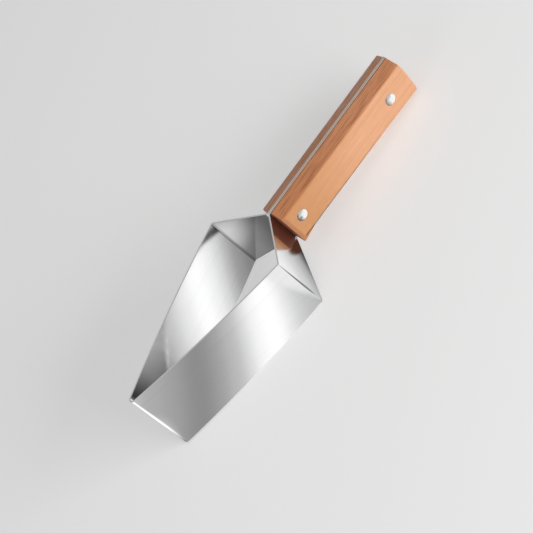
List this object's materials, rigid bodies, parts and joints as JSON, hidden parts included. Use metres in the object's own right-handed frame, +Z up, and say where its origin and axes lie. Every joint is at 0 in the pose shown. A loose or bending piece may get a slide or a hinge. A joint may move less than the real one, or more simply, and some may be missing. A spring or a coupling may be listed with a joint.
{
  "type": "loop-blade hand tool",
  "caption": "Hand tool with an open kite-shaped loop blade of bent steel strip, whose ends form the tang of a riveted wooden handle.",
  "frame": {"origin": "middle of the tool's bounding box, on the surface that it lies on", "axes": "+X along the tool from the blade's tip to the butt of the handle, +Y to the left seen from the butt, +Z up"},
  "size_m": [0.276, 0.0774, 0.0578],
  "materials": {
    "blade_steel": "polished stainless strip with faint rolling lines and soft reflections",
    "scale_wood": "fine straight-grained beech, sanded and lightly oiled, pinkish orange",
    "rivet_steel": "domed rivet heads, polished, with a fine turned sheen"
  },
  "bodies": {
    "root": {"blade_band": "blade_steel", "handle_scale_right": "scale_wood", "handle_scale_left": "scale_wood", "rivet_socket_front": "rivet_steel", "rivet_post_front": "rivet_steel", "rivet_socket_butt": "rivet_steel", "rivet_post_butt": "rivet_steel"}
  },
  "joints": []
}
